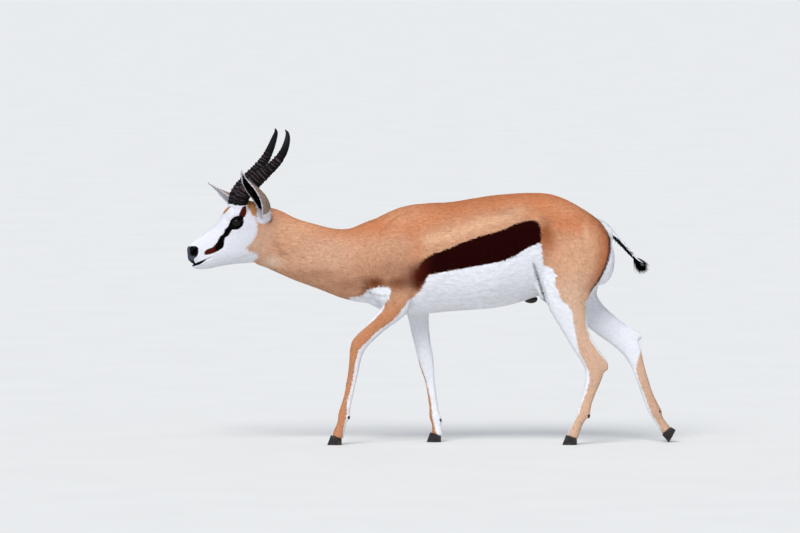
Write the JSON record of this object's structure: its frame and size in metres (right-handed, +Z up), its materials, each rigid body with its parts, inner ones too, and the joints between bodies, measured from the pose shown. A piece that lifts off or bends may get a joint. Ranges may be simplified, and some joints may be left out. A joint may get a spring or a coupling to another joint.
{
  "type": "springbok",
  "caption": "Life-size still model of an adult springbok ram at a slow walk, neck stretched forward and low, with ringed lyre horns, upright ears and a short tufted tail.",
  "frame": {"origin": "on the floor, under the middle of the whole box", "axes": "+Z up; the animal faces -X and its left side is at -Y"},
  "size_m": [1.5407, 0.2662, 0.992],
  "materials": {
    "coat": "short sleek hair, tan to cinnamon with white face, belly and rump and a very dark brown flank band",
    "bare_skin": "bare black skin, slightly moist",
    "eye": "wet, near-black brown eye",
    "horn": "satin black horn with worn brownish ridge tops",
    "hoof": "dull black hoof horn"
  },
  "bodies": {
    "root": {"torso": "coat", "neck": "coat", "head": "coat", "ear_left": "coat", "ear_right": "coat", "foreleg_left": "coat", "foreleg_right": "coat", "hindleg_left": "coat", "hindleg_right": "coat", "tail": "coat", "sheath": "bare_skin", "eye_left": "eye", "eye_right": "eye", "horn_left": "horn", "horn_right": "horn", "hoof_foreleg_left_outer": "hoof", "hoof_foreleg_left_inner": "hoof", "hoof_foreleg_right_outer": "hoof", "hoof_foreleg_right_inner": "hoof", "hoof_hindleg_left_outer": "hoof", "hoof_hindleg_left_inner": "hoof", "hoof_hindleg_right_outer": "hoof", "hoof_hindleg_right_inner": "hoof"}
  },
  "joints": []
}
